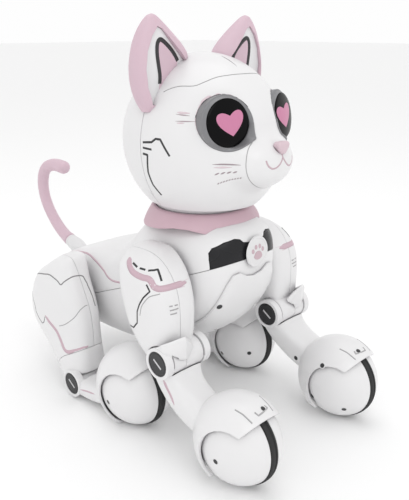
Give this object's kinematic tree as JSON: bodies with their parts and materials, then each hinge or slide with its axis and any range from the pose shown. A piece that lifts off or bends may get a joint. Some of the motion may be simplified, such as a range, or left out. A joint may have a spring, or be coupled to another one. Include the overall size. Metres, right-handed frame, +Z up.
{
  "type": "toy robot cat",
  "caption": "Seated toy robot cat with a turning egg-shaped head, upright ears, curved wagging tail and legs that end in rolling wheels.",
  "frame": {"origin": "centre of the footprint on the floor, between the wheels and the tail", "axes": "+X to the cat's left, -Y the way the cat faces, +Z up"},
  "size_m": [0.1784, 0.3556, 0.3],
  "materials": {
    "white": "satin white moulded shell",
    "pink": "dusty pink satin collar",
    "pale_pink": "pale pink soft moulded plastic",
    "black": "black satin",
    "rubber": "matt black rubber",
    "silver": "silver-grey painted ring",
    "lens": "glossy black dome",
    "board": "green circuit board",
    "cell": "blue wrapped cells",
    "steel": "plated screw"
  },
  "bodies": {
    "torso": {"upper_body_shell": "white", "lower_body_shell": "white", "chest_plate": "white", "sensor_window": "black", "chest_medallion": "white", "neck_collar": "pink", "battery_cover": "white", "battery_cover_screw": "steel", "battery_pack": "cell", "main_circuit_board": "board", "speaker": "black", "neck_servo": "black", "tail_socket": "white"},
    "power_switch_knob": {"power_switch": "black"},
    "tail_body": {"tail": "pale_pink"},
    "head": {"face_shell": "white", "head_back_shell": "white", "neck_turntable": "white", "nose": "pale_pink", "ear_left": "pale_pink", "ear_right": "pale_pink", "ear_inner_left": "pale_pink", "ear_inner_right": "pale_pink", "eye_bezel_left": "silver", "eye_bezel_right": "silver", "eye_lens_left": "lens", "eye_lens_right": "lens"},
    "upper_arm_left": {"upper_arm_outer_left": "white", "upper_arm_inner_left": "white"},
    "front_leg_left": {"forearm_left": "white", "elbow_pin_left": "black", "front_wheel_cover_outer_left": "white", "front_wheel_cover_inner_left": "white"},
    "front_wheel_left": {"front_tyre_left": "rubber", "front_wheel_hub_left": "black"},
    "thigh_left": {"thigh_outer_left": "white", "thigh_inner_left": "white"},
    "rear_leg_left": {"foot_left": "white", "ankle_pin_left": "black", "rear_wheel_cover_outer_left": "white", "rear_wheel_cover_inner_left": "white"},
    "rear_wheel_left": {"rear_tyre_left": "rubber", "rear_wheel_hub_left": "black"},
    "upper_arm_right": {"upper_arm_outer_right": "white", "upper_arm_inner_right": "white"},
    "front_leg_right": {"forearm_right": "white", "elbow_pin_right": "black", "front_wheel_cover_outer_right": "white", "front_wheel_cover_inner_right": "white"},
    "front_wheel_right": {"front_tyre_right": "rubber", "front_wheel_hub_right": "black"},
    "thigh_right": {"thigh_outer_right": "white", "thigh_inner_right": "white"},
    "rear_leg_right": {"foot_right": "white", "ankle_pin_right": "black", "rear_wheel_cover_outer_right": "white", "rear_wheel_cover_inner_right": "white"},
    "rear_wheel_right": {"rear_tyre_right": "rubber", "rear_wheel_hub_right": "black"}
  },
  "joints": [
    {"name": "head_turn", "type": "hinge", "parent": "torso", "child": "head", "pos_m": [0, -0.05185, 0.17], "axis": [0, 0, 1], "range_deg": [-40, 40]},
    {"name": "tail_wag", "type": "hinge", "parent": "torso", "child": "tail_body", "pos_m": [0, 0.13005, 0.0948], "axis": [0, 0.9558, 0.2939], "range_deg": [-30, 30]},
    {"name": "power_switch_slide", "type": "slide", "parent": "torso", "child": "power_switch_knob", "axis": [0, 1, 0], "range_m": [-0.0035, 0.0035]},
    {"name": "shoulder_left", "type": "hinge", "parent": "torso", "child": "upper_arm_left", "pos_m": [0.0612, -0.05495, 0.1153], "axis": [1, 0, 0], "range_deg": [-20, 10]},
    {"name": "elbow_left", "type": "hinge", "parent": "upper_arm_left", "child": "front_leg_left", "pos_m": [0.0586, -0.08765, 0.0723], "axis": [1, 0, 0], "range_deg": [0, 12]},
    {"name": "front_wheel_spin_left", "type": "hinge", "parent": "front_leg_left", "child": "front_wheel_left", "pos_m": [0.0586, -0.14695, 0.0309], "axis": [1, 0, 0], "continuous": true},
    {"name": "hip_left", "type": "hinge", "parent": "torso", "child": "thigh_left", "pos_m": [0.0602, 0.04305, 0.0751], "axis": [1, 0, 0], "range_deg": [-4, 15]},
    {"name": "ankle_left", "type": "hinge", "parent": "thigh_left", "child": "rear_leg_left", "pos_m": [0.062, 0.02025, 0.0133], "axis": [1, 0, 0], "range_deg": [0, 10]},
    {"name": "rear_wheel_spin_left", "type": "hinge", "parent": "rear_leg_left", "child": "rear_wheel_left", "pos_m": [0.062, -0.04285, 0.0309], "axis": [1, 0, 0], "continuous": true},
    {"name": "shoulder_right", "type": "hinge", "parent": "torso", "child": "upper_arm_right", "pos_m": [-0.0612, -0.05495, 0.1153], "axis": [1, 0, 0], "range_deg": [-20, 10]},
    {"name": "elbow_right", "type": "hinge", "parent": "upper_arm_right", "child": "front_leg_right", "pos_m": [-0.0586, -0.08765, 0.0723], "axis": [1, 0, 0], "range_deg": [0, 12]},
    {"name": "front_wheel_spin_right", "type": "hinge", "parent": "front_leg_right", "child": "front_wheel_right", "pos_m": [-0.0586, -0.14695, 0.0309], "axis": [1, 0, 0], "continuous": true},
    {"name": "hip_right", "type": "hinge", "parent": "torso", "child": "thigh_right", "pos_m": [-0.0602, 0.04305, 0.0751], "axis": [1, 0, 0], "range_deg": [-4, 15]},
    {"name": "ankle_right", "type": "hinge", "parent": "thigh_right", "child": "rear_leg_right", "pos_m": [-0.062, 0.02025, 0.0133], "axis": [1, 0, 0], "range_deg": [0, 10]},
    {"name": "rear_wheel_spin_right", "type": "hinge", "parent": "rear_leg_right", "child": "rear_wheel_right", "pos_m": [-0.062, -0.04285, 0.0309], "axis": [1, 0, 0], "continuous": true}
  ]
}
